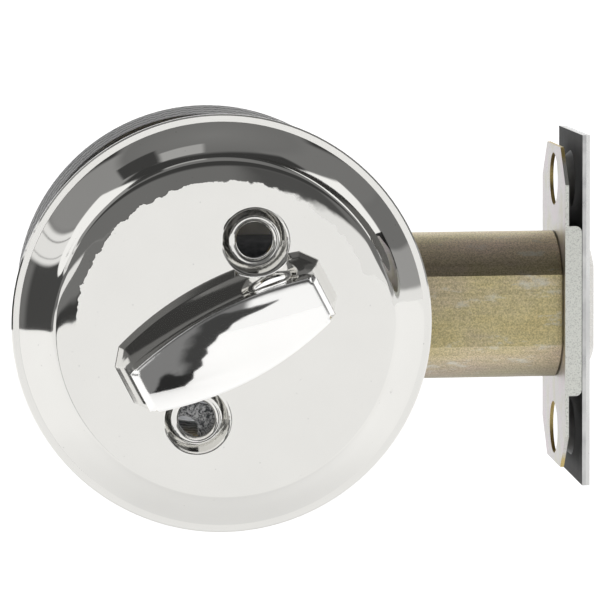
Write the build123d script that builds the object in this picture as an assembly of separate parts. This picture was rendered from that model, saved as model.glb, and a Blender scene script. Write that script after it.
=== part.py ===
# Tubular deadlock for a timber or steel door, bolt withdrawn.
# X runs along the bolt towards the door edge, Y from the room side to the key side, Z is up.
# The origin is where the spindle axis crosses the bolt axis. Lengths are in millimetres.

import os
from math import acos, atan2, cos, degrees, hypot, radians, sin

from build123d import *

os.makedirs("parts", exist_ok=True)

# Door and fixing
door_thickness = 44.45
backset = 60.3
screw_circle = 29.4
post_angle = 135.0
rose_screw_angle = 71.5
running_gap = 0.1
rest_gap = 0.3
overcut = 1.0
fine_gap = 0.05

# Inside rose
rose_radius = 33.3
rose_rim_width = 1.2
rose_rim_depth = 1.0
rose_height = 10.0
rose_wall = 1.3
rose_face_radius = 26.7
rose_edge_radius = 3.6
rose_edge_turn = 76.0
rose_cove_sagitta = 0.9
rose_rim_break = 0.25
rose_rim_inset = 0.75
rose_screw_hole = 2.85
dish_radius = 5.2
dish_floor_radius = 3.9
dish_depth = 1.6
dish_lip_flat = 1.5
dish_lip_rounding = 0.55
dish_floor_rounding = 0.5
dish_hole_rounding = 0.7
dish_cup_length = 4.0
dish_cup_wall = 0.7

# Thumbturn, measured out from the rose face
turn_angle = 27.1
turn_height = 19.9
turn_base_length = 35.8
turn_base_width = 16.6
turn_base_end = 6.4
turn_skirt_height = 3.3
turn_face_length = 31.3
turn_face_width = 12.0
turn_face_end = 6.4
turn_neck_width = 10.2
turn_neck_length = 32.3
turn_neck_flare = 1.3
turn_neck_low = 0.3
turn_neck_high = 0.65
turn_skirt_taper = 1.4
turn_base_side = 11.45
turn_corner = 2.0
turn_crown_along = 88.0
turn_crown_across = 38.0
turn_end_bevel = 0.85
turn_end_bevel_drop = 1.5
turn_side_rounding = 0.3
turn_scallop_margin = 0.25
turn_scallop_taper = 1.6
turn_scallop_rise = 6.0
turn_hub_radius = 6.6
turn_hub_end = 8.0
turn_socket_start = 4.6
clip_groove_start = 2.7
clip_groove_depth = 1.0
clip_thickness = 1.0
clip_radius = 7.9
clip_gap_angle = 56.0
washer_thickness = 0.45

# Clamp plate behind the rose
plate_radius = 23.5
plate_thickness = 1.6
plate_bore_radius = 10.4
plate_drop = (-1.2, -1.9)
plate_swing = -2.3
plate_hole_radius = 2.4
plate_hole_out = 0.6
plate_slot_radius = 3.1
plate_slot_in = 2.6
plate_slot_out = 6.2

# Flat bars that join the turn and the cylinder to the crank
bar_width = 8.0
bar_thickness = 2.2
bar_clearance = 0.1

# Bolt tube and rear case
tube_radius = 12.05
tube_flat_cut = 1.48
tube_wall = 1.2
spigot_wall = 0.45
tube_start = 16.0
tube_end = 56.0
case_back = -24.2
case_rounding = 1.0
tab_length = 10.0
tab_half_width = 4.5
tab_thickness = 1.0
rivet_radius = 1.5
rivet_head_radius = 2.3
rivet_head = 0.6
rivet_inset = 5.2
rivet_middle = 3.5
screw_notch_radius = 2.9

# Crank and bolt
throw = 25.4
throw_angle = 90.0
crank_pin_radius = 1.8
crank_lobe_radius = 2.7
crank_clearance = 0.65
crank_web_start = 1.5
crank_web_thickness = 2.5
crank_shoulder_step = 0.3
crank_shoulder_back = 0.15
crank_journal_step = 0.8
crank_proud = 0.3
tail_thickness = 2.4
tail_slot_play = 0.5
tail_half_height = 6.2
tail_top_clearance = 0.6
tail_foot_clearance = 4.25
tail_shoulder = 2.5
tail_slope = 4.5
bolt_side_clearance = 1.42
bolt_proud = 1.5
bolt_length = 38.3
bolt_chamfer = 0.8
tail_socket_depth = 10.8
tail_pin_radius = 1.6
saw_pin_radius = 3.0
saw_pin_length = 22.0
saw_pin_play = 1.4

# Mounting plate and faceplate
face_length = 57.15
face_width = 25.4
face_sheet = 0.61
face_window_gap = 0.35
mount_sheet = 0.6
mount_depth = 2.8
mount_length = 52.6
mount_end_width = 14.6
mount_full_length = 41.0
flange_length = 27.7
flange_sheet = 0.8
flange_rounding = 1.0
face_screw_spacing = 41.3
face_screw_radius = 2.6
face_sink_radius = 4.75
mount_screw_hole = 4.3
screw_seat_depth = 1.3
screw_seat_hole = 2.9
screw_seat_wall = 0.55

# Key side
guard_radius = 32.15
guard_height = 20.2
guard_face_radius = 21.4
guard_rim_wall = 1.5
guard_rim_height = 1.8
guard_sagitta = 0.9
guard_lip_in = 1.2
guard_lip_back = 1.4
guard_fit = 0.4
head_radius = 17.3
head_seat = 14.3
head_stand = 0.6
head_bevel = 0.6
body_radius = 14.5
shell_radius = 9.0
shell_start = 14.8
block_half_width = 4.2
block_top = 13.9
plug_radius = 6.35
plug_start = 13.8
plug_lip_radius = 7.2
plug_lip = 1.3
chamber_count = 6
chamber_pitch = 3.9
chamber_first = 5.3
pin_radius = 1.45
key_pin_lengths = (5.2, 6.4, 4.6, 5.8, 6.8, 5.4)
key_pin_sink = 0.25
key_pin_point = 0.4
driver_length = 3.2
spring_wire = 0.36
spring_coils = 4
cover_thickness = 1.2
cover_margin = 0.6
keyway_width = 1.9
keyway_depth = 5.6
keyway_rise = 2.8
ward_depth = 0.55
ward_height = 1.2
recess_radius = 5.0
recess_depth = 2.6
cap_radius = 8.2
cap_thickness = 1.2
cap_skirt = 0.8
bar_end_gap = 0.2
spindle_socket = 5.2
retainer_radius = 23.0
retainer_thickness = 2.0
retainer_depth = 10.8
retainer_screw_out = 11.6
retainer_screw_drop = 3.0
retainer_screw_length = 6.2
post_radius = 3.8
post_bore = 2.1
post_bevel = 0.5
post_floor = 1.5
post_length = 17.8
small_screw_radius = 1.5
small_screw_head = 1.9
small_screw_head_radius = 2.85

# Places worked out from the sizes above
door_face = door_thickness / 2
inside_door = -door_face
rose_face = inside_door - rose_height
rose_back = rose_face + rose_wall
turn_base = rose_face - rest_gap
face_front = backset
face_joint = face_front - face_sheet
mount_face = face_joint - face_sheet
mount_web = mount_face - mount_depth
tube_flat = tube_radius - tube_flat_cut
tube_bore_radius = tube_radius - tube_wall
tube_bore_flat = tube_flat - tube_wall
bolt_radius = tube_bore_radius - rest_gap
bolt_half = tube_bore_flat - bolt_side_clearance
window_radius = bolt_radius + face_window_gap
window_half = bolt_half + face_window_gap
bolt_tip = face_front + bolt_proud
bolt_rear = bolt_tip - bolt_length
tube_rivet_place = tube_start + tab_length * 0.45
guard_front = door_face + guard_height
head_back = door_face + head_seat
cylinder_face = guard_front + head_stand
retainer_back = door_face + retainer_depth - retainer_thickness
screw_radius_out = screw_circle / 2
tail_pin_place = bolt_rear + tail_socket_depth / 2
tail_top = tube_bore_radius - tail_top_clearance
tail_bottom = tail_foot_clearance - tube_bore_radius
crank_radius = tube_bore_radius - crank_clearance - crank_lobe_radius
crank_shoulder_radius = crank_radius - crank_shoulder_step
crank_journal_radius = crank_shoulder_radius - crank_journal_step
crank_shoulder_end = bolt_half - crank_shoulder_back


def block(x0, x1, y0, y1, z0, z1):
    """A box between two corners."""
    box = Box(x1 - x0, y1 - y0, z1 - z0)
    return Pos((x0 + x1) / 2, (y0 + y1) / 2, (z0 + z1) / 2) * box


def round_y(radius, y0, y1, x=0, z=0):
    """A round bar along Y."""
    return Pos(x, (y0 + y1) / 2, z) * Rot(90, 0, 0) * Cylinder(radius, y1 - y0)


def round_x(radius, x0, x1, y=0, z=0):
    """A round bar along X."""
    return Pos((x0 + x1) / 2, y, z) * Rot(0, 90, 0) * Cylinder(radius, x1 - x0)


def turned_y(points, radii=None):
    """A turned shape about Y from a closed outline of (radius, y) points."""
    corners = radii or [0] * len(points)
    outline = FilletPolyline(*points, radius=corners, close=True)
    return revolve(make_face(outline), Axis.Y, 360)


def turned_x(points, radii=None):
    """A turned shape about X from a closed outline of (x, radius) points."""
    corners = radii or [0] * len(points)
    outline = FilletPolyline(*points, radius=corners, close=True)
    return revolve(make_face(outline), Axis.X, 360)


def flatted_bar(radius, flat, x0, x1):
    """A round bar along X with a flat at the front and at the back."""
    return round_x(radius, x0, x1) & block(x0, x1, -flat, flat, -radius, radius)


def at_angle(radius, degrees):
    """The (x, z) place at a radius and an angle round the spindle axis."""
    return radius * cos(radians(degrees)), radius * sin(radians(degrees))


def flat_bar(width, thickness, y0, y1, degrees):
    """A flat bar along Y whose width lies at an angle in the XZ plane."""
    bar = block(-width / 2, width / 2, y0, y1, -thickness / 2, thickness / 2)
    return Rot(0, -degrees, 0) * bar


def bowed_arc(start, end, rise):
    """An arc between two points that bows to the left by the rise."""
    run_x = end[0] - start[0]
    run_y = end[1] - start[1]
    length = hypot(run_x, run_y)
    middle_x = (start[0] + end[0]) / 2 - run_y / length * rise
    middle_y = (start[1] + end[1]) / 2 + run_x / length * rise
    return ThreePointArc(start, (middle_x, middle_y), end)


def save(node, shape):
    """Write one piece, or one group of like pieces, to its own file."""
    export_step(shape, f"parts/{node}.step")


def rose_blank():
    """The drawn rose without holes: flat face, rounded edge, cove and flat rim."""
    turn = radians(rose_edge_turn)
    flat_end = rose_face_radius - rose_edge_radius * sin(turn)
    edge_low = rose_face + rose_edge_radius * (1 - cos(turn))
    rim_front = inside_door - rose_rim_depth
    cove_end = (rose_radius - rose_rim_width, rim_front)
    edge_mid = (flat_end + rose_edge_radius * sin(turn / 2),
                rose_face + rose_edge_radius * (1 - cos(turn / 2)))
    edge_end = (rose_face_radius, edge_low)
    inner_radius = rose_edge_radius - rose_wall
    inner_mid = (flat_end + inner_radius * sin(turn / 2),
                 rose_back + inner_radius * (1 - cos(turn / 2)))
    inner_end = (flat_end + inner_radius * sin(turn), rose_back + inner_radius * (1 - cos(turn)))
    skirt_end = (cove_end[0] - rose_rim_inset, inside_door)
    outline = [
        Line((0, rose_face), (flat_end, rose_face)),
        ThreePointArc((flat_end, rose_face), edge_mid, edge_end),
        bowed_arc(edge_end, cove_end, rose_cove_sagitta),
        Line(cove_end, (rose_radius - rose_rim_break, rim_front)),
        Line((rose_radius - rose_rim_break, rim_front), (rose_radius, rim_front + rose_rim_break)),
        Line((rose_radius, rim_front + rose_rim_break), (rose_radius, inside_door)),
        Line((rose_radius, inside_door), skirt_end),
        bowed_arc(skirt_end, inner_end, -rose_cove_sagitta),
        ThreePointArc(inner_end, inner_mid, (flat_end, rose_back)),
        Line((flat_end, rose_back), (0, rose_back)),
        Line((0, rose_back), (0, rose_face)),
    ]
    return revolve(make_face(outline), Axis.Y, 360)


def rose_screw_places():
    """Where the two through-screws sit in the rose."""
    return [at_angle(screw_radius_out, rose_screw_angle + half_turn) for half_turn in (0, 180)]


def screw_dish(x, z):
    """The round recess and hole that a through-screw sits in, as a cutter."""
    floor = rose_face + dish_depth
    far = rose_face + dish_cup_length + overcut
    wide = dish_radius + dish_lip_flat
    outline = FilletPolyline(
        (wide, rose_face), (dish_radius, rose_face), (dish_floor_radius, floor),
        (rose_screw_hole, floor), (rose_screw_hole, far),
        radius=[dish_lip_rounding, dish_floor_rounding, dish_hole_rounding])
    closing = Polyline(
        (rose_screw_hole, far), (0, far), (0, rose_face - overcut),
        (wide, rose_face - overcut), (wide, rose_face))
    cutter = revolve(make_face([outline, closing]), Axis.Y, 360)
    return Pos(x, 0, z) * cutter


def screw_cup(x, z):
    """The metal behind a dish, pushed back from the rose face."""
    outer = dish_radius + dish_cup_wall
    front = rose_face + dish_cup_wall / 2
    back = rose_face + dish_cup_length
    shoulder = (dish_floor_radius + dish_cup_wall, rose_face + dish_depth + dish_cup_wall)
    tip = (rose_screw_hole + dish_cup_wall * 1.8, back)
    rounding = dish_cup_wall / 2
    cup = turned_y([(0, front), (outer, front), (outer, rose_back), shoulder, tip, (0, back)],
                   [0, 0, rounding, rounding, rounding, 0])
    return Pos(x, 0, z) * cup


def make_rose():
    rose = rose_blank()
    for x, z in rose_screw_places():
        rose = rose + screw_cup(x, z)
    for x, z in rose_screw_places():
        rose = rose - screw_dish(x, z)
    bore = turn_hub_radius + running_gap
    return rose - round_y(bore, rose_face - overcut, rose_back + overcut)


def turn_section(plane, height, length, end_width, width, corner_in, corner_width):
    """One cross-section of the thumbturn: square ends, clipped corners, bowed sides."""
    end = length / 2
    half_end = end_width / 2
    corner = end - corner_in
    side = corner_width / 2
    bow = width / 2
    outline = [
        Line((end, -half_end), (end, half_end)),
        Line((end, half_end), (corner, side)),
        ThreePointArc((corner, side), (0, bow), (-corner, side)),
        Line((-corner, side), (-end, half_end)),
        Line((-end, half_end), (-end, -half_end)),
        Line((-end, -half_end), (-corner, -side)),
        ThreePointArc((-corner, -side), (0, -bow), (corner, -side)),
        Line((corner, -side), (end, -half_end)),
    ]
    return plane.offset(height) * make_face(outline)


def bevel_face(head):
    """Break the edges of the crowned face: a wide bevel at both ends, a rounding at the sides."""
    face = head.faces().sort_by(Axis.Y)[0]
    ends = [edge for edge in face.edges() if edge.length < turn_face_length / 2]
    head = chamfer(ends, turn_end_bevel, turn_end_bevel_drop, reference=face)
    face_edges = head.faces().sort_by(Axis.Y)[0].edges()
    sides = [edge for edge in face_edges if edge.length > turn_face_length / 2]
    return fillet(sides, turn_side_rounding)


def turn_scallop():
    """The hollow in the skirt that clears a screw's dish; it narrows away from the rose."""
    reach = dish_radius + turn_scallop_margin
    top = turn_base - turn_skirt_height
    return turned_y([
        (0, turn_base + overcut), (reach, turn_base + overcut), (reach, top),
        (reach - turn_scallop_taper, top - turn_scallop_rise), (0, top - turn_scallop_rise)])


def make_thumbturn():
    angle = radians(turn_angle)
    plane = Plane(origin=(0, turn_base, 0), x_dir=(cos(angle), 0, sin(angle)), z_dir=(0, -1, 0))
    skirt_length = turn_base_length - turn_skirt_taper
    skirt_width = turn_base_width - turn_skirt_taper
    skirt_side = turn_base_side - turn_skirt_taper / 2
    base = turn_section(plane, 0, turn_base_length, turn_base_end, turn_base_width, turn_corner,
                        turn_base_side)
    shoulder = turn_section(plane, turn_skirt_height, skirt_length, turn_base_end, skirt_width,
                            turn_corner * 0.95, skirt_side)
    skirt = loft([base, shoulder], ruled=True)
    neck_rise = turn_height - turn_skirt_height
    neck_side = turn_face_end + turn_neck_flare
    neck = loft([
        shoulder,
        turn_section(plane, turn_skirt_height + neck_rise * turn_neck_low, turn_neck_length,
                     turn_base_end, turn_neck_width + turn_neck_flare / 2, turn_corner * 0.55,
                     neck_side),
        turn_section(plane, turn_skirt_height + neck_rise * turn_neck_high,
                     (turn_neck_length + turn_face_length) / 2, turn_face_end, turn_neck_width,
                     turn_corner * 0.4, neck_side - turn_neck_flare / 2),
        turn_section(plane, turn_height + overcut / 2, turn_face_length, turn_face_end, turn_face_width,
                     turn_corner * 0.25, turn_face_end + turn_neck_flare / 2),
    ])
    crown_axis = turn_height - turn_crown_along
    crown = Torus(turn_crown_along - turn_crown_across, turn_crown_across)
    crown = plane * (Pos(0, 0, crown_axis) * Rot(90, 0, 0) * crown)
    head = neck & crown
    grip = skirt + bevel_face(head)
    for x, z in rose_screw_places():
        grip = grip - Pos(x, 0, z) * turn_scallop()
    hub_far = rose_face + turn_hub_end
    hub = round_y(turn_hub_radius, turn_base, hub_far)
    groove = clip_groove_start + rose_face
    ring = round_y(turn_hub_radius + overcut, groove, groove + clip_thickness + running_gap)
    core = round_y(turn_hub_radius - clip_groove_depth, groove - overcut,
                   groove + clip_thickness + overcut)
    hub = hub - (ring - core)
    socket = flat_bar(bar_width + 2 * bar_clearance, bar_thickness + 2 * bar_clearance,
                      rose_face + turn_socket_start, hub_far + overcut, turn_angle)
    return grip + hub - socket


def make_turn_washer():
    """A dished spring washer between the rose and the clip."""
    front = rose_back + fine_gap
    back = rose_face + clip_groove_start - running_gap
    inner = turn_hub_radius + rest_gap
    outer = clip_radius + rest_gap * 0.7
    return turned_y([
        (inner, back - washer_thickness), (outer, front),
        (outer, front + washer_thickness), (inner, back)])


def make_turn_clip():
    """An open retaining ring in the groove of the hub."""
    near = rose_face + clip_groove_start + running_gap / 2
    ring = round_y(clip_radius, near, near + clip_thickness)
    inner = turn_hub_radius - clip_groove_depth + fine_gap
    ring = ring - round_y(inner, near - overcut, near + clip_thickness + overcut)
    half = radians(clip_gap_angle / 2)
    reach = clip_radius * 2
    wedge = make_face(Polyline(
        (0, 0), (reach * cos(half), reach * sin(half)), (reach * cos(half), -reach * sin(half)),
        (0, 0)))
    wedge = extrude(Plane.XZ * wedge, rose_radius, both=True)
    return ring - Rot(0, -turn_angle, 0) * wedge


def make_inside_plate():
    """The clamp plate: it hangs a little low and askew while no screw holds it."""
    near = rose_face + dish_cup_length + running_gap
    far = near + plate_thickness
    plate = round_y(plate_radius, near, far)
    plate = plate - round_y(plate_bore_radius, near - overcut, far + overcut)
    low_x, low_z = at_angle(screw_radius_out + plate_hole_out, rose_screw_angle + 180)
    high_x, high_z = at_angle(screw_radius_out, rose_screw_angle)
    plate = plate - round_y(plate_hole_radius, near - overcut, far + overcut, low_x, low_z)
    slot = block(-plate_slot_in, plate_slot_out, near - overcut, far + overcut,
                 -plate_slot_radius, plate_slot_radius)
    for end in (-plate_slot_in, plate_slot_out):
        slot = slot + round_y(plate_slot_radius, near - overcut, far + overcut, end, 0)
    plate = plate - Pos(high_x, 0, high_z) * Rot(0, -rose_screw_angle, 0) * slot
    return Pos(plate_drop[0], 0, plate_drop[1]) * Rot(0, -plate_swing, 0) * plate


def make_bolt_tube():
    """The bolt tube: two flats, a spigot that enters the mounting plate, two rivet holes."""
    tube = flatted_bar(tube_radius, tube_flat, tube_start, tube_end)
    spigot = tube_bore_radius + spigot_wall
    spigot_flat = tube_bore_flat + spigot_wall
    tube = tube + flatted_bar(spigot, spigot_flat, tube_end - overcut, mount_web + mount_sheet)
    tube = tube - flatted_bar(tube_bore_radius, tube_bore_flat, tube_start - overcut, mount_face)
    return tube - round_y(rivet_radius, -tube_radius, tube_radius, tube_rivet_place, 0)


def case_shell():
    """The rear case before it is split: a closed-ended shell with tabs that enter the tube."""
    outer = flatted_bar(tube_radius, tube_flat, case_back, tube_start)
    rear_edges = outer.faces().sort_by(Axis.X)[0].edges()
    outer = fillet(rear_edges, case_rounding)
    inner = flatted_bar(tube_bore_radius, tube_bore_flat, case_back + tube_wall, tube_start + overcut)
    shell = outer - inner
    tab_out = tube_bore_flat - fine_gap
    tab_root = tube_start - tube_wall
    joggle_out = tube_flat - tube_wall / 6
    for side in (-1, 1):
        tab_near = side * (tab_out - tab_thickness)
        tab = block(tab_root, tube_start + tab_length, min(tab_near, side * tab_out),
                    max(tab_near, side * tab_out), -tab_half_width, tab_half_width)
        joggle = block(tab_root, tube_start, min(side * tab_out, side * joggle_out),
                       max(side * tab_out, side * joggle_out),
                       -tab_half_width, tab_half_width)
        shell = shell + tab + joggle
    shell = shell - round_y(rivet_radius, -tube_radius, tube_radius, tube_rivet_place, 0)
    shell = shell - round_y(crank_journal_radius + fine_gap, -tube_radius, tube_radius)
    for x, z in rivet_places():
        shell = shell - round_y(rivet_radius, -tube_radius, tube_radius, x, z)
    for half_turn in (0, 180):
        x, z = at_angle(screw_radius_out, post_angle + half_turn)
        shell = shell - round_y(screw_notch_radius, -tube_radius, tube_radius, x, z)
    return shell


def rivet_places():
    """Where the cross rivets hold the two case halves together, clear of the tail and crank."""
    low = -tube_bore_radius + rivet_radius * 1.4
    rear = case_back + rivet_inset
    return [(rear, -tail_bottom), (rear, low), (rivet_middle, low - rivet_radius * 0.3)]


def make_case(side):
    """One pressed half of the case: the room side is -1 and the key side is 1."""
    far = side * 2 * tube_radius
    half = block(case_back - overcut, tube_start + tab_length + overcut, min(0, far),
                 max(0, far), -2 * tube_radius, 2 * tube_radius)
    return case_shell() & half


def make_case_rivets():
    """Long rivets through both halves, with a low head at each end."""
    outer = flatted_bar(tube_radius, tube_flat, case_back, tube_start)
    rivets = []
    for x, z in rivet_places():
        reach = min(tube_flat, (tube_radius ** 2 - z ** 2) ** 0.5) + rivet_head
        shank = round_y(rivet_radius, -reach, reach, x, z)
        heads = round_y(rivet_head_radius, -reach, reach, x, z) - outer
        rivets.append(shank + heads)
    return Compound(children=rivets)


def make_tube_rivets():
    """Short rivets that hold the tube to the tabs of the case."""
    x = tube_rivet_place
    inner = tube_bore_flat - fine_gap - tab_thickness
    rivets = []
    for side in (-1, 1):
        low, high = sorted((side * inner, side * (tube_flat + rivet_head / 2)))
        head_low, head_high = sorted((side * tube_flat, side * (tube_flat + rivet_head)))
        shank = round_y(rivet_radius, low, high, x, 0)
        head = round_y(rivet_head_radius, head_low, head_high, x, 0)
        rivets.append(shank + head)
    return Compound(children=rivets)


def crank_start_angle():
    """The pin's angle with the bolt withdrawn, so that the slanted slot gives the full throw."""
    yoke_radius = throw / 2 / sin(radians(throw_angle / 2))
    lean = degrees(acos(crank_radius / yoke_radius))
    return 90 + throw_angle / 2 - lean


def make_crank(side):
    """One half of the crank: web, shoulder, journal and a socket for the flat bar."""
    start = crank_start_angle()
    pin_x, pin_z = at_angle(crank_radius, start)
    web_near = crank_web_start
    web_far = crank_web_start + crank_web_thickness
    low, high = sorted((side * web_near, side * web_far))
    web = round_y(crank_journal_radius, low, high)
    lobe = round_y(crank_lobe_radius, low, high, pin_x, pin_z)
    bridge = block(0, crank_radius, low, high, -crank_lobe_radius, crank_lobe_radius)
    web = web + lobe + Rot(0, -start, 0) * bridge
    low, high = sorted((side * web_far, side * crank_shoulder_end))
    web = web + round_y(crank_shoulder_radius, low, high)
    low, high = sorted((side * crank_shoulder_end, side * (tube_flat + crank_proud)))
    web = web + round_y(crank_journal_radius, low, high)
    socket = flat_bar(bar_width + 2 * bar_clearance, bar_thickness + 2 * bar_clearance,
                      -tube_radius, tube_radius, turn_angle)
    return web - socket - round_y(crank_pin_radius, -tube_radius, tube_radius, pin_x, pin_z)


def make_crank_pin():
    """The pin between the two crank webs."""
    pin_x, pin_z = at_angle(crank_radius, crank_start_angle())
    reach = crank_web_start + crank_web_thickness
    return round_y(crank_pin_radius, -reach, reach, pin_x, pin_z)


def make_bolt_tail():
    """The flat tail: the crank pin works in its slanted slot and the front enters the bolt."""
    start = crank_start_angle()
    near_x, near_z = at_angle(crank_radius, start)
    far_x, far_z = at_angle(crank_radius, start - throw_angle)
    far_x = far_x - throw
    rear = case_back + tube_wall + rest_gap
    front = bolt_rear + tail_socket_depth
    outline = Polyline(
        (front, -tail_half_height), (front, tail_half_height),
        (crank_radius + tail_shoulder + tail_slope, tail_half_height),
        (crank_radius + tail_shoulder, tail_top), (near_x - 2 * crank_pin_radius, tail_top),
        (rear, far_z + crank_pin_radius + rest_gap), (rear, tail_bottom),
        (crank_radius, tail_bottom), (front, -tail_half_height))
    half = tail_thickness / 2
    tail = extrude(Plane.XZ * make_face(outline), half, both=True)
    run_x = near_x - far_x
    run_z = near_z - far_z
    length = hypot(run_x, run_z)
    lean = degrees(atan2(run_z, run_x))
    width = crank_pin_radius + tail_slot_play
    deep = half + overcut
    slot = block(0, length, -deep, deep, -width, width)
    slot = slot + round_y(width, -deep, deep) + round_y(width, -deep, deep, length)
    tail = tail - Pos(far_x, 0, far_z) * Rot(0, -lean, 0) * slot
    return tail - round_y(tail_pin_radius, -deep, deep, tail_pin_place, 0)


def make_bolt_head():
    """The bolt: two flats, a bevelled tip, a slot for the tail and a bore for the saw pin."""
    head = flatted_bar(bolt_radius, bolt_half, bolt_rear, bolt_tip)
    head = chamfer(head.faces().sort_by(Axis.X)[-1].edges(), bolt_chamfer)
    slot = tail_thickness / 2 + running_gap
    slot_end = bolt_rear + tail_socket_depth + rest_gap
    head = head - block(bolt_rear - overcut, slot_end, -slot, slot, -bolt_radius, bolt_radius)
    bore_end = slot_end + saw_pin_length + saw_pin_play
    head = head - round_x(saw_pin_radius + running_gap, slot_end - overcut, bore_end)
    return head - round_y(tail_pin_radius, -bolt_radius, bolt_radius, tail_pin_place, 0)


def make_tail_pin():
    """The cross pin that joins the tail to the bolt."""
    reach = bolt_half - running_gap
    return round_y(tail_pin_radius, -reach, reach, tail_pin_place, 0)


def make_saw_pin():
    """The hardened roller inside the bolt."""
    start = bolt_rear + tail_socket_depth + saw_pin_play / 2
    return round_x(saw_pin_radius, start, start + saw_pin_length)


def plate_outline(half_length, half_width, end_half_width, shoulder):
    """The outline in Y and Z of a plate whose ends narrow beyond the shoulder."""
    return Polyline(
        (half_width, -shoulder), (half_width, shoulder), (end_half_width, half_length),
        (-end_half_width, half_length), (-half_width, shoulder), (-half_width, -shoulder),
        (-end_half_width, -half_length), (end_half_width, -half_length), (half_width, -shoulder))


def make_mount_plate():
    """The folded plate behind the faceplate: web, two flanges and two wide screw holes."""
    shape = make_face(plate_outline(mount_length / 2, face_width / 2, mount_end_width / 2,
                                    mount_full_length / 2))
    prism = Pos(mount_web, 0, 0) * extrude(Plane.YZ * shape, face_width)
    web = prism & block(mount_web, mount_web + mount_sheet, -face_width, face_width,
                        -face_length, face_length)
    for side in (-1, 1):
        middle = side * face_screw_spacing / 2
        web = web - round_x(mount_screw_hole, mount_web - overcut, mount_face, 0, middle)
        low, high = sorted((side * face_width / 2, side * (face_width / 2 - flange_sheet)))
        flange = block(mount_web, mount_face - running_gap, low, high, -flange_length / 2,
                       flange_length / 2)
        corners = flange.edges().filter_by(Axis.Y).group_by(Axis.X)[-1]
        web = web + fillet(corners, flange_rounding)
    spigot = tube_bore_radius + spigot_wall + fine_gap
    spigot_flat = tube_bore_flat + spigot_wall + fine_gap
    return web - flatted_bar(spigot, spigot_flat, mount_web - overcut, mount_web + overcut)


def make_backing_plate():
    """The rear layer of the faceplate, pressed back into a cone round each screw hole."""
    plate = block(mount_face, face_joint, -face_width / 2, face_width / 2, -face_length / 2,
                  face_length / 2)
    plate = plate - flatted_bar(window_radius, window_half, mount_face - overcut, face_front)
    seat_back = mount_face - screw_seat_depth
    sink = face_sink_radius - running_gap
    for side in (-1, 1):
        middle = side * face_screw_spacing / 2
        cone = turned_x([
            (seat_back, 0), (seat_back, screw_seat_hole + screw_seat_wall),
            (mount_face, sink), (face_joint, sink), (face_joint, 0)])
        hollow = turned_x([
            (seat_back - overcut, 0), (seat_back - overcut, screw_seat_hole), (seat_back, screw_seat_hole),
            (face_joint, sink), (face_front, sink), (face_front, 0)])
        plate = plate + Pos(0, 0, middle) * cone - Pos(0, 0, middle) * hollow
    return plate


def make_faceplate():
    """The front layer, with two pressed countersinks that reach into the rear layer."""
    plate = block(face_joint, face_front, -face_width / 2, face_width / 2, -face_length / 2,
                  face_length / 2)
    plate = plate - flatted_bar(window_radius, window_half, face_joint - overcut, bolt_tip)
    ring_back = mount_face + fine_gap
    root = face_sink_radius - face_sheet * 0.8
    lip = face_screw_radius + face_sheet * 1.5
    for side in (-1, 1):
        middle = side * face_screw_spacing / 2
        ring = turned_x([
            (face_joint + running_gap, 0), (face_joint + running_gap, root),
            (face_joint, root), (ring_back, lip), (ring_back, 0)])
        sink = turned_x([
            (ring_back - overcut, 0), (ring_back - overcut, face_screw_radius),
            (ring_back + rest_gap, face_screw_radius), (face_front, face_sink_radius),
            (face_front + overcut, face_sink_radius), (face_front + overcut, 0)])
        plate = plate + Pos(0, 0, middle) * ring - Pos(0, 0, middle) * sink
    return plate


def make_guard():
    """The tapered ring round the cylinder on the key side."""
    wall = guard_radius - guard_rim_wall
    ledge = retainer_back + retainer_thickness
    collar = head_radius + rest_gap
    rim_top = door_face + guard_rim_height
    lip = (guard_face_radius + guard_lip_in, guard_front - guard_lip_back)
    bore = body_radius + guard_fit
    seat = retainer_radius + guard_fit
    outline = [
        Line((guard_radius, door_face), (guard_radius, rim_top)),
        bowed_arc((guard_radius, rim_top), lip, -guard_sagitta),
        Line(lip, (guard_face_radius, guard_front)),
        Line((guard_face_radius, guard_front), (collar, guard_front)),
        Line((collar, guard_front), (collar, head_back)),
        Line((collar, head_back), (bore, head_back)),
        Line((bore, head_back), (bore, ledge)),
        Line((bore, ledge), (seat, ledge)),
        Line((seat, ledge), (wall, rim_top)),
        Line((wall, rim_top), (wall, door_face)),
        Line((wall, door_face), (guard_radius, door_face)),
    ]
    return revolve(make_face(outline), Axis.Y, 360)


def chamber_places():
    """The place along Y of each pin chamber."""
    first = cylinder_face - chamber_first
    return [first - chamber_pitch * count for count in range(chamber_count)]


def make_cylinder_body():
    """The lock cylinder: head, flange, shell and the chamber block over the plug."""
    body = round_y(head_radius, head_back, cylinder_face)
    body = chamfer(body.faces().sort_by(Axis.Y)[-1].edges(), head_bevel)
    body = body + round_y(body_radius, retainer_back + retainer_thickness, head_back)
    body = body + round_y(shell_radius, shell_start, head_back)
    body = body + block(-block_half_width, block_half_width, shell_start, head_back, 0, block_top)
    body = body - round_y(plug_radius + running_gap, shell_start - overcut, cylinder_face + overcut)
    body = body - round_y(plug_lip_radius + running_gap, cylinder_face - plug_lip,
                          cylinder_face + overcut)
    for place in chamber_places():
        chamber = Cylinder(pin_radius + fine_gap, block_top)
        body = body - Pos(0, place, block_top / 2 + overcut) * chamber
    for x in retainer_screw_places():
        body = body - round_y(small_screw_radius, retainer_back, head_back + 2 * overcut, x,
                              -retainer_screw_drop)
    return body


def retainer_screw_places():
    """The X place of each small screw in the cylinder's back plate."""
    return [-retainer_screw_out, retainer_screw_out]


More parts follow.
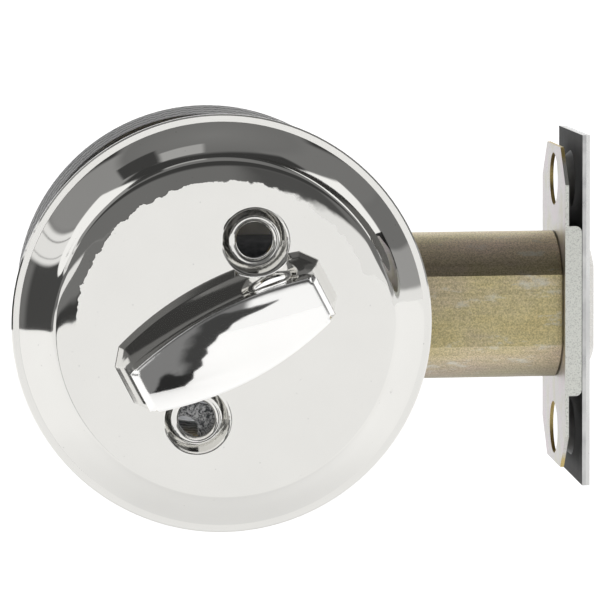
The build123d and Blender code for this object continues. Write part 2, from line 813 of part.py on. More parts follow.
def make_key_plug():
    """The plug: keyway, pin holes, a lip at the face and a recess for the tailpiece."""
    plug_face = cylinder_face + rest_gap
    plug = round_y(plug_radius, plug_start, plug_face)
    lip_back = cylinder_face - plug_lip + running_gap
    plug = plug + round_y(plug_lip_radius, lip_back, plug_face)
    half_key = keyway_width / 2
    key_rear = plug_start + recess_depth + plug_lip
    key_front = plug_face + overcut
    plug = plug - block(-half_key, half_key, key_rear, key_front, -keyway_depth, keyway_rise)
    ward = half_key + ward_depth
    for side, low in ((1, -2 * ward_height), (-1, ward_height / 6)):
        near, far = sorted((0, side * ward))
        plug = plug - block(near, far, key_rear, key_front, low, low + ward_height)
    for place in chamber_places():
        hole = Cylinder(pin_radius + fine_gap, 2 * plug_radius)
        plug = plug - Pos(0, place, plug_radius - pin_radius) * hole
    deep = plug_start + recess_depth
    recess = round_y(recess_radius, plug_start - overcut, deep)
    stop = bar_thickness / 2 + bar_clearance
    lugs = block(stop, recess_radius, plug_start, deep, stop, recess_radius)
    lugs = lugs + block(-recess_radius, -stop, plug_start, deep, -recess_radius, -stop)
    recess = recess - Rot(0, -turn_angle, 0) * lugs
    return plug - recess


def make_key_pins():
    """The lower pins, held at the shear line as a matching key holds them."""
    top = plug_radius - key_pin_sink
    tip = pin_radius - key_pin_point
    pins = []
    for place, length in zip(chamber_places(), key_pin_lengths):
        outline = Polyline((0, top), (pin_radius, top), (pin_radius, top - length + tip),
                           (key_pin_point, top - length), (0, top - length), (0, top))
        pin = revolve(Plane.XZ * make_face(outline), Axis.Z, 360)
        pins.append(Pos(0, place, 0) * pin)
    return Compound(children=pins)


def driver_bottom():
    """The underside of the upper pins, just outside the plug."""
    return plug_radius + running_gap


def make_driver_pins():
    low = driver_bottom()
    pins = []
    for place in chamber_places():
        pin = Pos(0, place, low + driver_length / 2) * Cylinder(pin_radius, driver_length)
        pins.append(pin)
    return Compound(children=pins)


def make_pin_springs():
    """The small coil springs above the upper pins."""
    inset = spring_wire * 0.55
    low = driver_bottom() + driver_length + inset
    high = block_top - inset
    coil_radius = pin_radius - fine_gap - inset
    path = Helix((high - low) / spring_coils, high - low, coil_radius)
    wire = Plane(origin=path @ 0, z_dir=path % 0) * RegularPolygon(spring_wire / 2, 6)
    coil = sweep(wire, path=path)
    coils = [Pos(0, place, low) * coil for place in chamber_places()]
    return Compound(children=coils)


def make_chamber_cover():
    """The strip that closes the pin chambers."""
    low = min(chamber_places()) - pin_radius - cover_margin
    high = retainer_back + retainer_thickness - running_gap
    half = block_half_width - cover_margin
    return block(-half, half, low, high, block_top, block_top + cover_thickness)


def make_plug_cap():
    """The cap on the rear of the plug that holds the tailpiece in."""
    hole = bar_width / 2 + rest_gap
    front = plug_start + cap_skirt
    cap = round_y(cap_radius, plug_start - cap_thickness, front)
    cap = cap - round_y(plug_radius, plug_start, front + overcut)
    return cap - round_y(hole, plug_start - cap_thickness - overcut, plug_start + overcut)


def make_tailpiece():
    """The flat tailpiece, with a wider end held in the plug's recess."""
    foot_start = plug_start + bar_end_gap
    bar = flat_bar(bar_width, bar_thickness, crank_web_start + rest_gap, foot_start, turn_angle)
    foot = flat_bar(2 * recess_radius - 2 * bar_end_gap, bar_thickness, foot_start,
                    plug_start + recess_depth - bar_end_gap, turn_angle)
    return bar + foot


def make_turn_spindle():
    """The flat bar from the turn's hub to the crank."""
    near = rose_face + spindle_socket
    return flat_bar(bar_width, bar_thickness, near, -crank_web_start - rest_gap, turn_angle)


def make_retainer():
    """The round plate that holds the cylinder in its guard."""
    far = retainer_back + retainer_thickness
    plate = round_y(retainer_radius, retainer_back, far)
    window = round_y(shell_radius + rest_gap, retainer_back - overcut, far + overcut)
    reach = block_half_width + rest_gap
    window = window + block(-reach, reach, retainer_back - overcut, far + overcut, 0,
                            block_top + cover_thickness + rest_gap)
    plate = plate - window
    for x in retainer_screw_places():
        plate = plate - round_y(small_screw_radius, retainer_back - overcut, far + overcut, x,
                                -retainer_screw_drop)
    return plate


def make_retainer_screws():
    """Two pan-head screws with a cross slot."""
    screws = []
    for x in retainer_screw_places():
        low = -retainer_screw_drop
        shank = round_y(small_screw_radius, retainer_back - rest_gap,
                        retainer_back + retainer_screw_length, x, low)
        head_near = retainer_back - small_screw_head
        head = round_y(small_screw_head_radius, head_near, retainer_back, x, low)
        head = fillet(head.faces().sort_by(Axis.Y)[0].edges(), small_screw_head / 3)
        for turn in (20, 110):
            slot = block(-small_screw_radius, small_screw_radius, head_near - overcut,
                         head_near + small_screw_head / 2, -rest_gap, rest_gap)
            head = head - Pos(x, 0, low) * Rot(0, turn, 0) * slot
        screws.append(shank + head)
    return Compound(children=screws)


def make_screw_posts():
    """The two threaded posts that take the through-screws."""
    posts = []
    for half_turn in (0, 180):
        x, z = at_angle(screw_radius_out, post_angle + half_turn)
        near = retainer_back - post_length
        post = round_y(post_radius, near, retainer_back, x, z)
        post = chamfer(post.faces().sort_by(Axis.Y)[0].edges(), post_bevel)
        posts.append(post - round_y(post_bore, near - overcut, retainer_back - post_floor, x, z))
    return Compound(children=posts)


save("inside_rose", make_rose())
save("thumbturn", make_thumbturn())
save("turn_washer", make_turn_washer())
save("turn_clip", make_turn_clip())
save("inside_plate", make_inside_plate())
save("turn_spindle", make_turn_spindle())
save("bolt_tube", make_bolt_tube())
save("case_inside", make_case(-1))
save("case_outside", make_case(1))
save("case_rivets", make_case_rivets())
save("tube_rivets", make_tube_rivets())
save("crank_inside", make_crank(-1))
save("crank_outside", make_crank(1))
save("crank_pin", make_crank_pin())
save("bolt_tail", make_bolt_tail())
save("bolt_head", make_bolt_head())
save("tail_pin", make_tail_pin())
save("saw_pin", make_saw_pin())
save("mount_plate", make_mount_plate())
save("backing_plate", make_backing_plate())
save("faceplate", make_faceplate())
save("cylinder_guard", make_guard())
save("cylinder_body", make_cylinder_body())
save("key_plug", make_key_plug())
save("key_pins", make_key_pins())
save("driver_pins", make_driver_pins())
save("pin_springs", make_pin_springs())
save("chamber_cover", make_chamber_cover())
save("plug_cap", make_plug_cap())
save("tailpiece", make_tailpiece())
save("cylinder_retainer", make_retainer())
save("retainer_screws", make_retainer_screws())
save("screw_posts", make_screw_posts())
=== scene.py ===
import math

import bmesh
import bpy
from mathutils import Matrix, Vector

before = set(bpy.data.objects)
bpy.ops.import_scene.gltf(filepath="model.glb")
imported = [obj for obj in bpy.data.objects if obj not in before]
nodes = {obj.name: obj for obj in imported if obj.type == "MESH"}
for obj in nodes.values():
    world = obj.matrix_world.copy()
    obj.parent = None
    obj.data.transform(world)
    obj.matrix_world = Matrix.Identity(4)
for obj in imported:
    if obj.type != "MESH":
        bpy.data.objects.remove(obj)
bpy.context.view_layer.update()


# The chromed pieces: the rose drawn from sheet, the die-cast thumbturn, the tapered guard round
# the cylinder and the faceplate. They are buffed and plated, with a faint waviness, soft handling
# smears and fine specks. The sides of the rose and the guard towards the door stay dull.
def start_finish(finish):
    """Start a metal finish and give its material and its tree of nodes."""
    material = bpy.data.materials.new(finish)
    material.use_nodes = True
    tree = material.node_tree
    tree.nodes["Principled BSDF"].inputs["Metallic"].default_value = 1.0
    return material, tree


def add(tree, kind, sockets, **settings):
    """Add a node, make its settings, and fill its sockets with values or with other results."""
    node = tree.nodes.new(kind)
    for setting, value in settings.items():
        setattr(node, setting, value)
    for socket, value in sockets.items():
        if isinstance(value, bpy.types.NodeSocket):
            tree.links.new(value, node.inputs[socket])
        else:
            node.inputs[socket].default_value = value
    return node


def worked(tree, operation, *values):
    """Work out one number from others."""
    node = add(tree, "ShaderNodeMath", dict(enumerate(values)), operation=operation)
    return node.outputs["Value"]


def graded(tree, value, low, high, start=0.0, end=1.0, ease="LINEAR"):
    """Grade a value that runs from low to high into one that runs from start to end."""
    sockets = {"Value": value, "From Min": low, "From Max": high, "To Min": start, "To Max": end}
    return add(tree, "ShaderNodeMapRange", sockets, interpolation_type=ease).outputs["Result"]


def clouded(tree, where, scale, detail=2.0, **more):
    """Give soft clouds or a grain, finer as the scale goes up."""
    sockets = {"Vector": where, "Scale": scale, "Detail": detail, **more}
    return add(tree, "ShaderNodeTexNoise", sockets).outputs["Fac"]


def coloured(tree, value, first, last, *between):
    """Lay colours along a value, each given as its place and its colour."""
    ramp = add(tree, "ShaderNodeValToRGB", {"Fac": value})
    stops = ramp.color_ramp.elements
    for stop, (place, colour) in zip(stops, (first, last)):
        stop.position = place
        stop.color = (*colour, 1)
    for place, colour in between:
        stops.new(place).color = (*colour, 1)
    return ramp.outputs["Color"]


def mixed(tree, share, first, second, way="MIX"):
    """Mix a share of the second colour into the first."""
    sockets = {"Factor": share, "A": first, "B": second}
    return add(tree, "ShaderNodeMix", sockets, data_type="RGBA", blend_type=way).outputs["Result"]


def blended(tree, share, first, second, kind="FLOAT"):
    """Blend a share of the second number or direction into the first."""
    sockets = {"Factor": share, "A": first, "B": second}
    return add(tree, "ShaderNodeMix", sockets, data_type=kind).outputs["Result"]


def coat(material, colour, roughness, relief, *pieces):
    """Give a finish its colour, roughness and fine relief, and put it on its pieces."""
    tree = material.node_tree
    shader = tree.nodes["Principled BSDF"]
    bump = add(tree, "ShaderNodeBump", relief)
    tree.links.new(colour, shader.inputs["Base Color"])
    tree.links.new(roughness, shader.inputs["Roughness"])
    tree.links.new(bump.outputs["Normal"], shader.inputs["Normal"])
    for piece in pieces:
        nodes[piece].data.materials.clear()
        nodes[piece].data.materials.append(material)


def drawn_slope(tree, coords):
    """Give the way the rose's front faces, from the slope that the press leaves at each radius."""
    spot = coords.outputs["Object"]
    from_middle = add(tree, "ShaderNodeVectorMath", {0: spot, 1: (1.0, 0.0, 1.0)},
                      operation="MULTIPLY").outputs["Vector"]
    radius = add(tree, "ShaderNodeVectorMath", {0: from_middle},
                 operation="LENGTH").outputs["Value"]
    outwards = add(tree, "ShaderNodeVectorMath", {0: from_middle},
                   operation="NORMALIZE").outputs["Vector"]

    # Buffing leaves the edge of the flat face ragged, by up to a millimetre either way.
    uneven = worked(tree, "SUBTRACT", clouded(tree, spot, 520.0, 5.0), 0.5)
    raggedness = graded(tree, radius, 0.0252, 0.0242, 0.0, 0.0022)
    wandering = worked(tree, "ADD", worked(tree, "MULTIPLY", uneven, raggedness), radius)

    # From the face to the rim, each point is the part of the way out and the slope there, in
    # quarter turns. The upper half is crowned before its tight bend and the lower half is flat.
    way_out = graded(tree, wandering, 0.0225, 0.0325)
    lower_half = [(0.33, 0.0), (0.390, 0.012), (0.396, 0.17), (0.46, 0.43), (0.50, 0.54),
                  (0.60, 0.56), (0.70, 0.53), (0.80, 0.49), (0.90, 0.445)]
    upper_half = [(0.090, 0.0), (0.096, 0.085), (0.23, 0.12), (0.29, 0.145), (0.33, 0.172),
                  (0.37, 0.23), (0.40, 0.42), (0.43, 0.645), (0.455, 0.745), (0.50, 0.72),
                  (0.60, 0.635), (0.70, 0.56), (0.80, 0.50), (0.90, 0.445)]
    rim_slope = 0.40
    slopes = []
    for half in (lower_half, upper_half):
        curve = add(tree, "ShaderNodeFloatCurve", {"Value": way_out})
        line = curve.mapping.curves[0]
        line.points[0].location = (0.0, 0.0)
        line.points[1].location = (1.0, rim_slope)
        for place, slope in half:
            line.points.new(place, slope).handle_type = "AUTO_CLAMPED"
        curve.mapping.update()
        slopes.append(curve.outputs["Value"])
    height = add(tree, "ShaderNodeSeparateXYZ", {"Vector": spot}).outputs["Z"]
    upper_share = graded(tree, height, -0.001, 0.012, ease="SMOOTHSTEP")
    lean = worked(tree, "MULTIPLY", blended(tree, upper_share, *slopes), math.pi / 2)

    sideways = add(tree, "ShaderNodeVectorMath",
                   {0: outwards, "Scale": worked(tree, "SINE", lean)},
                   operation="SCALE").outputs["Vector"]
    forwards = add(tree, "ShaderNodeVectorMath",
                   {0: (0.0, -1.0, 0.0), "Scale": worked(tree, "COSINE", lean)},
                   operation="SCALE").outputs["Vector"]
    drawn = add(tree, "ShaderNodeVectorMath", {0: sideways, 1: forwards}).outputs["Vector"]
    facing = add(tree, "ShaderNodeVectorTransform", {"Vector": drawn}, vector_type="NORMAL",
                 convert_from="OBJECT", convert_to="WORLD").outputs["Vector"]

    # It holds on the front only, from the flat face to just inside the cut rim.
    own = add(tree, "ShaderNodeSeparateXYZ", {"Vector": coords.outputs["Normal"]}).outputs["Y"]
    on_front = graded(tree, own, -0.10, -0.18)
    past_face = graded(tree, radius, 0.0220, 0.0224)
    inside_rim = graded(tree, radius, 0.03212, 0.03206)
    share = worked(tree, "MULTIPLY", worked(tree, "MULTIPLY", past_face, inside_rim), on_front)
    surface = add(tree, "ShaderNodeNewGeometry", {}).outputs["Normal"]
    return blended(tree, share, surface, facing, "VECTOR")


# Each line gives the finish, the piece, its tint, how rough it is where smooth, the way that its
# door side faces (0 where it has none) and how grey that side is.
chromed = [
    ("chrome_rose", "inside_rose", (0.735, 0.727, 0.70), 0.03, 1.0, 0.25),
    ("chrome_turn", "thumbturn", (0.92, 0.915, 0.90), 0.03, 0.0, 0.25),
    ("chrome_guard", "cylinder_guard", (0.76, 0.755, 0.74), 0.03, -1.0, 0.42),
    ("chrome_face", "faceplate", (0.68, 0.68, 0.67), 0.20, 0.0, 0.25),
]
for finish_name, piece, tint, smooth, door_side, door_grey in chromed:
    chrome, tree = start_finish(finish_name)
    coords = add(tree, "ShaderNodeTexCoord", {})
    spot = coords.outputs["Object"]
    smear = clouded(tree, spot, 90.0, 5.0)
    gloss = graded(tree, smear, 0.35, 0.75, smooth, 2.2 * smooth)
    tone = coloured(tree, smear, (0.3, tint), (0.7, [min(part * 1.03, 1) for part in tint]))
    speck = add(tree, "ShaderNodeTexVoronoi", {"Vector": spot, "Scale": 420.0})
    fleck = graded(tree, speck.outputs["Distance"], 0.03, 0.06, 0.82, 1.0)
    colour = mixed(tree, 1.0, tone, fleck, "MULTIPLY")
    relief = {"Height": clouded(tree, spot, 160.0), "Strength": 0.05, "Distance": 0.0002}
    if piece == "thumbturn":
        buffed_edge = add(tree, "ShaderNodeBevel", {"Radius": 0.0006}, samples=8)
        relief["Normal"] = buffed_edge.outputs["Normal"]
    if piece == "inside_rose":
        relief["Normal"] = drawn_slope(tree, coords)
    if door_side:
        split = add(tree, "ShaderNodeSeparateXYZ", {"Vector": coords.outputs["Normal"]})
        depth = split.outputs["Y"]
        unpolished = graded(tree, depth, 0.04 * door_side, 0.10 * door_side)
        rings = add(tree, "ShaderNodeTexWave",
                    {"Vector": spot, "Scale": 900.0, "Distortion": 6.0, "Detail": 4.0},
                    wave_type="RINGS", rings_direction="Y").outputs["Fac"]
        grey = coloured(tree, rings, (0.0, [door_grey * 0.6] * 3), (1.0, [door_grey * 1.4] * 3))
        ground_edge = graded(tree, depth, 0.95 * door_side, 0.99 * door_side, 1.0, 2.2)
        dull = mixed(tree, 1.0, grey, ground_edge, "MULTIPLY")
        colour = mixed(tree, unpolished, colour, dull)
        gloss = blended(tree, unpolished, gloss, 0.5)
    coat(chrome, colour, gloss, relief, piece)


# The bolt tube: steel, drawn to two flats, zinc plated and dipped in yellow passivate. The film is
# straw yellow on the flats and a dull pink brown round the top and the bottom, in soft patches,
# with a fine grain, faint lines of the drawing and a few pale scuffs. Painted light brightens the
# crown, and painted shade darkens the underside and a band on the upper shoulder.
def stretched(tree, where, amount):
    """Stretch a pattern by scaling the places that it is read from."""
    return add(tree, "ShaderNodeMapping", {"Vector": where, "Scale": amount}).outputs["Vector"]


yellow_zinc, tree = start_finish("yellow_zinc")
coords = add(tree, "ShaderNodeTexCoord", {})
spot = coords.outputs["Object"]
upwards = add(tree, "ShaderNodeSeparateXYZ", {"Vector": coords.outputs["Normal"]}).outputs["Z"]
patch = clouded(tree, stretched(tree, spot, (0.35, 1.0, 1.0)), 110.0, 6.0, Roughness=0.62)
straw = coloured(tree, patch, (0.30, (0.52, 0.43, 0.20)), (0.72, (0.52, 0.44, 0.33)),
                 (0.5, (0.55, 0.48, 0.27)))
pink = coloured(tree, patch, (0.32, (0.52, 0.47, 0.31)), (0.70, (0.62, 0.50, 0.42)))
round_part = graded(tree, worked(tree, "ABSOLUTE", upwards), 0.35, 0.85)
film = mixed(tree, round_part, straw, pink)
# Painted light and shade, set by which way the surface faces: lighter over the crown, darker on
# the upper shoulder and underneath.
painted_shade_underneath = graded(tree, upwards, -0.66, -1.0, 1.10, 0.56)
painted_light_over_top = graded(tree, upwards, 0.62, 1.0, 0.74, 1.60)
painted_light_below_shoulder = graded(tree, upwards, 0.30, 0.60, 1.36, 1.0)
painted_light_and_shade = worked(tree, "MULTIPLY", worked(tree, "MULTIPLY", painted_light_over_top, painted_light_below_shoulder), painted_shade_underneath)
painted_lit_film = mixed(tree, 1.0, film, painted_light_and_shade, "MULTIPLY")
grain = clouded(tree, spot, 4200.0, 4.0)
drawing_lines = clouded(tree, stretched(tree, spot, (0.03, 1.0, 1.0)), 2600.0, 3.0)
texture = blended(tree, 0.20, grain, drawing_lines)
pitted = mixed(tree, 1.0, painted_lit_film, graded(tree, texture, 0.36, 0.64, 0.68, 1.22), "MULTIPLY")
rub = clouded(tree, stretched(tree, spot, (0.50, 1.0, 1.4)), 260.0, 7.0, Roughness=0.7)
scuff = graded(tree, rub, 0.56, 0.70, 0.0, 0.80)
scuffed = mixed(tree, scuff, pitted, (0.72, 0.73, 0.68, 1))
coat(yellow_zinc, scuffed, graded(tree, texture, 0.0, 1.0, 0.42, 0.60),
     {"Height": texture, "Strength": 0.18, "Distance": 0.0001}, "bolt_tube")


# The case halves behind the tube: pressed steel, coloured near black with a faint mottle, and held
# together by the case rivets.
def plain_metal(name, tints, roughness, depth, pieces, clouds, grain=None, stretch=None):
    """Finish a metal in two clouded tints, with a grain, or the clouds again, as its relief."""
    finish, tree = start_finish(name)
    where = add(tree, "ShaderNodeTexCoord", {}).outputs["Object"]
    if stretch:
        where = stretched(tree, where, stretch)
    cloud = clouded(tree, where, **clouds)
    fine = clouded(tree, where, **grain) if grain else cloud
    coat(finish, coloured(tree, cloud, *tints), graded(tree, fine, 0.0, 1.0, *roughness),
         {"Height": fine, "Strength": depth, "Distance": 0.0001}, *pieces)


plain_metal("near_black_steel", ((0.35, (0.035, 0.036, 0.038)), (0.70, (0.085, 0.086, 0.088))),
            (0.40, 0.60), 0.15, ("case_inside", "case_outside"),
            {"scale": 900.0, "detail": 5.0})


# The mounting plate: folded steel sheet, zinc plated and passivated to a pale cream with pinkish
# patches. It has a fine grain, a scatter of dark pits and a golden film on the walls of its holes,
# and painted light makes its flanges paler. The front of the tube fits into it.
pale_zinc, tree = start_finish("pale_zinc")
coords = add(tree, "ShaderNodeTexCoord", {})
spot = coords.outputs["Object"]
facing = add(tree, "ShaderNodeSeparateXYZ", {"Vector": coords.outputs["Normal"]})
across = add(tree, "ShaderNodeSeparateXYZ", {"Vector": spot})
patch = clouded(tree, spot, 260.0, 5.0)
film = coloured(tree, patch, (0.34, (0.57, 0.55, 0.47)), (0.66, (0.62, 0.56, 0.58)),
                (0.5, (0.60, 0.58, 0.57)))
# Painted light: the flanges, which face front and back, are made paler.
painted_light_on_flanges = graded(tree, worked(tree, "ABSOLUTE", facing.outputs["Y"]), 0.5, 0.9)
flanges_painted_lighter = mixed(tree, painted_light_on_flanges, film, (0.74, 0.75, 0.70, 1))
cut_wall = graded(tree, worked(tree, "ABSOLUTE", facing.outputs["X"]), 0.6, 0.3)
in_plate = graded(tree, worked(tree, "ABSOLUTE", across.outputs["Y"]), 0.0100, 0.0085)
golden = mixed(tree, worked(tree, "MULTIPLY", cut_wall, in_plate), flanges_painted_lighter,
               (0.62, 0.48, 0.20, 1))
grain = clouded(tree, spot, 6500.0, 3.0)
pitted = mixed(tree, 1.0, golden, graded(tree, grain, 0.34, 0.50, 0.66, 1.0), "MULTIPLY")
coat(pale_zinc, pitted, graded(tree, grain, 0.0, 1.0, 0.28, 0.48),
     {"Height": grain, "Strength": 0.25, "Distance": 0.0001}, "mount_plate")


# The backing plate: the rear layer of the faceplate, sheet steel pressed back into a cone round
# each screw hole. It is bright zinc on its edges; the side that lies in the door carries painted
# shade, nearly black, barely metallic and rougher.
backing_zinc, tree = start_finish("backing_zinc")
coords = add(tree, "ShaderNodeTexCoord", {})
facing = add(tree, "ShaderNodeSeparateXYZ", {"Vector": coords.outputs["Normal"]})
patch = clouded(tree, coords.outputs["Object"], 300.0, 6.0)
# Painted shade: the side that lies in the door turns near black, rough and barely metallic.
painted_shade_side = graded(tree, facing.outputs["X"], -0.4, -0.8)
bright = coloured(tree, patch, (0.35, (0.46, 0.46, 0.46)), (0.65, (0.66, 0.66, 0.65)))
black = coloured(tree, patch, (0.35, (0.012, 0.012, 0.012)), (0.68, (0.045, 0.045, 0.045)))
matt = worked(tree, "MULTIPLY_ADD", painted_shade_side, 0.40, graded(tree, patch, 0.0, 1.0, 0.20, 0.40))
shader = tree.nodes["Principled BSDF"]
tree.links.new(graded(tree, painted_shade_side, 0.0, 1.0, 1.0, 0.15), shader.inputs["Metallic"])
coat(backing_zinc, mixed(tree, painted_shade_side, bright, black), matt,
     {"Height": patch, "Strength": 0.15, "Distance": 0.0001}, "backing_plate")


# The small plated steel pieces: the flat bars that turn the cranks, the rivets, the cylinder's
# back plate, its screws and the threaded posts. All are in clear zinc.
plain_metal("clear_zinc", ((0.30, (0.50, 0.51, 0.53)), (0.70, (0.66, 0.67, 0.68))),
            (0.28, 0.48), 0.15,
            ("turn_spindle", "tailpiece", "case_rivets", "tube_rivets", "cylinder_retainer",
             "retainer_screws", "screw_posts"),
            {"scale": 240.0, "detail": 6.0}, grain={"scale": 2200.0})


# The moving pieces inside: the cranks, the bolt's tail, the pins, the springs, the clip and the
# washer. They are bare steel, darker than the plated pieces, with fine scratches.
plain_metal("bare_steel", ((0.30, (0.34, 0.34, 0.35)), (0.70, (0.52, 0.52, 0.53))),
            (0.22, 0.42), 0.12,
            ("crank_inside", "crank_outside", "crank_pin", "bolt_tail", "tail_pin", "saw_pin",
             "pin_springs", "turn_clip", "turn_washer"),
            {"scale": 1500.0, "detail": 4.0}, stretch=(0.2, 1.0, 1.0))


# The bolt: a solid steel bar plated in satin nickel, brushed along its travel. It slides in the
# tube and is pinned to its tail.
plain_metal("satin_nickel", ((0.30, (0.60, 0.585, 0.55)), (0.70, (0.71, 0.70, 0.67))),
            (0.18, 0.36), 0.10, ("bolt_head",),
            {"scale": 2400.0, "detail": 3.0}, stretch=(0.06, 1.0, 1.0))


# The lock cylinder with its plug, pins, end cap and chamber cover: brass, turned bright, with a
# light tarnish.
plain_metal("turned_brass", ((0.30, (0.62, 0.46, 0.20)), (0.68, (0.78, 0.62, 0.32))),
            (0.16, 0.34), 0.10,
            ("cylinder_body", "key_plug", "key_pins", "driver_pins", "plug_cap",
             "chamber_cover"),
            {"scale": 180.0, "detail": 6.0}, grain={"scale": 1800.0})


# The clamp plate behind the rose, seen through its lower hole: dark grey zinc on steel, with a
# crazed, sparkling grain.
plain_metal("grained_zinc", ((0.40, (0.05, 0.052, 0.055)), (0.62, (0.42, 0.42, 0.42))),
            (0.35, 0.60), 0.35, ("inside_plate",),
            {"scale": 1500.0, "detail": 5.0, "Distortion": 1.5})


# The floor: a wide pale sheet below the lock, with its left edge two metres away. It shows white
# to the camera and in the metal, with a painted shadow that dims it beneath the lock, a little
# less white in front of it, and it still takes the real shadow.
def flat_sheet(name, corners):
    """Make a flat sheet from its corners."""
    mesh = bpy.data.meshes.new(name)
    shape = bmesh.new()
    shape.faces.new([shape.verts.new(corner) for corner in corners])
    shape.to_mesh(mesh)
    shape.free()
    made = bpy.data.objects.new(name, mesh)
    bpy.context.collection.objects.link(made)
    return made


def bare_material(name):
    """Start a material with nothing on its surface and give its tree and its output."""
    material = bpy.data.materials.new(name)
    material.use_nodes = True
    tree = material.node_tree
    tree.nodes.remove(tree.nodes["Principled BSDF"])
    return material, tree, tree.nodes["Material Output"]


floor_height = -0.24
floor = flat_sheet("floor", [(x, y, floor_height)
                             for x, y in ((-1.95, -30), (30, -30), (30, 30), (-1.95, 30))])
pale_floor, tree, output = bare_material("pale_floor")
coords = add(tree, "ShaderNodeTexCoord", {})
spot = add(tree, "ShaderNodeSeparateXYZ", {"Vector": coords.outputs["Object"]})
beneath = add(tree, "ShaderNodeCombineXYZ",
              {"X": spot.outputs["X"], "Y": worked(tree, "ADD", spot.outputs["Y"], 0.05)})
distance = add(tree, "ShaderNodeVectorMath", {0: beneath.outputs["Vector"]},
               operation="LENGTH").outputs["Value"]
# Painted shadow: the glow is dimmer close to the spot beneath the lock.
glow_with_painted_shadow = graded(tree, distance, 0.05, 0.35, 0.33, 0.52, "SMOOTHSTEP")
in_front = graded(tree, spot.outputs["Y"], -0.3, -0.8, 0.0, 0.07, "SMOOTHSTEP")
glow = add(tree, "ShaderNodeEmission", {"Strength": worked(tree, "SUBTRACT", glow_with_painted_shadow, in_front)})
unseen = add(tree, "ShaderNodeEmission", {"Strength": 0.0})
path = add(tree, "ShaderNodeLightPath", {}).outputs
seen = worked(tree, "ADD", path["Is Camera Ray"], path["Is Glossy Ray"])
seen_too = add(tree, "ShaderNodeMath", {0: seen, 1: path["Is Transmission Ray"]},
               operation="ADD", use_clamp=True)
choose = add(tree, "ShaderNodeMixShader",
             {"Fac": seen_too.outputs["Value"], 1: unseen.outputs["Emission"],
              2: glow.outputs["Emission"]})
pale = add(tree, "ShaderNodeBsdfDiffuse", {"Color": (0.80, 0.80, 0.80, 1)})
both = add(tree, "ShaderNodeAddShader",
           {0: pale.outputs["BSDF"], 1: choose.outputs["Shader"]})
tree.links.new(both.outputs["Shader"], output.inputs["Surface"])
floor.data.materials.append(pale_floor)


# A dark cloth screen with a ragged edge stands on the floor, to the left of the camera and behind
# it. It is grey with a black middle and a black right edge, and only the metal sees it.
screen_place = -0.76
outline = [(-0.28, floor_height), (-0.080, floor_height), (-0.055, -0.205), (-0.062, -0.17),
           (-0.040, -0.145), (-0.052, -0.11), (-0.036, -0.085), (-0.047, -0.055),
           (-0.026, -0.03), (-0.022, -0.008), (0.004, 0.01), (0.010, 0.035), (0.034, 0.055),
           (0.062, 0.062), (0.095, 0.070), (0.12, 0.082), (0.15, 0.10), (-0.28, 0.10)]
screen = flat_sheet("screen", [(x, screen_place, z) for x, z in outline])
cloth, tree, output = bare_material("screen_cloth")
spot = add(tree, "ShaderNodeTexCoord", {}).outputs["Object"]
folds = add(tree, "ShaderNodeTexNoise", {"Vector": spot, "Scale": 14.0, "Detail": 3.0})
shifted = add(tree, "ShaderNodeVectorMath",
              {0: folds.outputs["Color"], 1: (0.09, 0.0, 0.12), 2: spot},
              operation="MULTIPLY_ADD").outputs["Vector"]
split = add(tree, "ShaderNodeSeparateXYZ", {"Vector": shifted}).outputs
low = graded(tree, split["Z"], -0.080, -0.110, ease="SMOOTHSTEP")
right_of_grey = graded(tree, split["X"], -0.145, -0.125, ease="SMOOTHSTEP")
right_edge = graded(tree, split["X"], -0.085, -0.040, 0.0, 0.85, "SMOOTHSTEP")
black = worked(tree, "MAXIMUM", worked(tree, "MULTIPLY", low, right_of_grey), right_edge)
glow = add(tree, "ShaderNodeEmission", {"Strength": graded(tree, black, 0.0, 1.0, 0.21, 0.025)})
tree.links.new(glow.outputs["Emission"], output.inputs["Surface"])
screen.data.materials.append(cloth)
screen.visible_camera = False


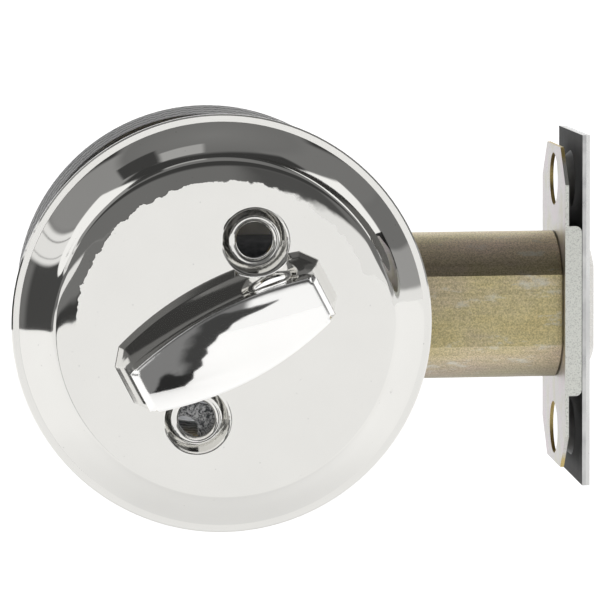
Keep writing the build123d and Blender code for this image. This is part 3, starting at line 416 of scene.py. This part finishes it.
# The room that the metal shows: a grey ceiling with soft-edged areas laid over it in turn. Each
# lies between two edges in degrees round from the camera side, positive to the right, and two in
# degrees up from the horizon, or across and along a ceiling at a height of one.
world = bpy.data.worlds.new("room")
bpy.context.scene.world = world
world.use_nodes = True
tree = world.node_tree
way = add(tree, "ShaderNodeSeparateXYZ",
          {"Vector": add(tree, "ShaderNodeTexCoord", {}).outputs["Generated"]}).outputs
towards_camera = worked(tree, "MULTIPLY", way["Y"], -1.0)
around = worked(tree, "DEGREES", worked(tree, "ARCTAN2", way["X"], towards_camera))
apart = worked(tree, "ABSOLUTE", around)
up = worked(tree, "DEGREES", worked(tree, "ARCSINE", way["Z"]))
across = worked(tree, "DIVIDE", way["X"], way["Z"])
along = worked(tree, "DIVIDE", way["Y"], way["Z"])
areas = [
    ("upper left", around, -150, -45, up, 26, 57, 3.0, 0.33),
    ("upper right", around, 45, 150, up, 30, 60, 4.0, 0.22),
    ("beam over the backdrop", apart, 138, 200, up, 41, 55, 3.0, 0.05),
    ("dark ceiling panel", across, -0.69, -0.36, along, 0.08, 0.62, 0.02, 0.06),
    ("light ceiling panel", across, -0.34, -0.05, along, 0.24, 0.64, 0.02, 0.46),
    ("backdrop", apart, 121, 200, up, -20, 41, 1.5, 1.15),
    ("backdrop, right", around, 112, 140, up, 14, 42, 1.5, 1.15),
    ("front wall", around, -64, 69, up, 0, 27, 3.0, 0.19),
    ("front wall, above", around, -64, 69, up, 26, 56, 3.0, 0.055),
    ("front wall, right", around, 7, 28, up, 10, 26, 3.0, 0.095),
    ("front table, left", around, -70, -38, up, -20, 0, 1.0, 1.0),
    ("front table", around, -38, 140, up, -20, 3.5, 1.0, 1.0),
    ("front table, middle", around, -32, -7, up, -20, 6, 1.0, 1.0),
    ("front table, right", around, 3, 35, up, -20, 11, 1.5, 1.0),
    ("left wall", around, -124, -64, up, -8, 15, 1.0, 0.075),
    ("left wall, near", around, -82, -64, up, -8, 15, 4.0, 0.20),
    ("left window", around, -123, -64, up, 14.5, 26, 1.0, 0.98),
    ("upper bar", around, -123, -64, up, 22.6, 23.2, 0.3, 0.35),
    ("lower bar", around, -123, -64, up, 16.6, 17.0, 0.3, 0.45),
    ("left window, tall", around, -157, -123, up, 2, 41, 1.0, 1.15),
    ("right wall", around, 69, 113, up, 14, 31, 2.0, 0.20),
    ("right wall, low", around, 69, 113, up, 3, 15, 1.0, 0.40),
]
shown = graded(tree, up, 30.0, 90.0, 0.15, 0.24)
for label, sideways, left, right, upwards, bottom, top, soft, brightness in areas:
    inside = []
    for measure, low_edge, high_edge in ((sideways, left, right), (upwards, bottom, top)):
        half = (high_edge - low_edge) / 2
        middle = (high_edge + low_edge) / 2
        off = worked(tree, "ABSOLUTE", worked(tree, "SUBTRACT", measure, middle))
        inside.append(graded(tree, off, half + soft, half - soft, ease="SMOOTHSTEP"))
    share = worked(tree, "MULTIPLY", *inside)
    area = add(tree, "ShaderNodeMix", {"Factor": share, "A": shown, "B": brightness},
               data_type="FLOAT", label=label)
    shown = area.outputs["Result"]
tree.links.new(shown, tree.nodes["Background"].inputs["Color"])
tree.nodes["Background"].inputs["Strength"].default_value = 1.0


# A broad soft light from above, tilted a little, lights the floor evenly. The metal sees the room
# instead of it.
overhead = bpy.data.lights.new("overhead", "SUN")
overhead.energy = 1.35
overhead.angle = 1.4
lamp = bpy.data.objects.new("overhead", overhead)
lamp.rotation_euler = (0.15, 0.0, 0.0)
lamp.visible_glossy = False
bpy.context.collection.objects.link(lamp)


# The camera, at the place and tilt fitted to the photo. The focal length is in pixels of the
# photo's frame and turns into a lens for a sensor of the usual width.
camera_place = (-0.03546, -0.61348, 0.06823)
yaw = 0.0818
pitch = 0.1096
roll = -0.0067
focal_pixels = 3763.6
frame_pixels = 608
ahead = Vector((math.sin(yaw) * math.cos(pitch), math.cos(yaw) * math.cos(pitch),
                -math.sin(pitch)))
to_right = Vector((math.cos(yaw), -math.sin(yaw), 0))
to_top = to_right.cross(ahead)
right_rolled = to_right * math.cos(roll) + to_top * math.sin(roll)
top_rolled = to_top * math.cos(roll) - to_right * math.sin(roll)
camera_data = bpy.data.cameras.new("camera")
camera_data.sensor_width = 36.0
camera_data.lens = focal_pixels / frame_pixels * camera_data.sensor_width
camera_data.clip_start = 0.01
camera_data.clip_end = 100.0
camera = bpy.data.objects.new("camera", camera_data)
stand = Matrix((right_rolled, top_rolled, -ahead)).transposed().to_4x4()
stand.translation = Vector(camera_place)
camera.matrix_world = stand
bpy.context.collection.objects.link(camera)
bpy.context.scene.camera = camera
bpy.context.scene.view_settings.view_transform = "Standard"
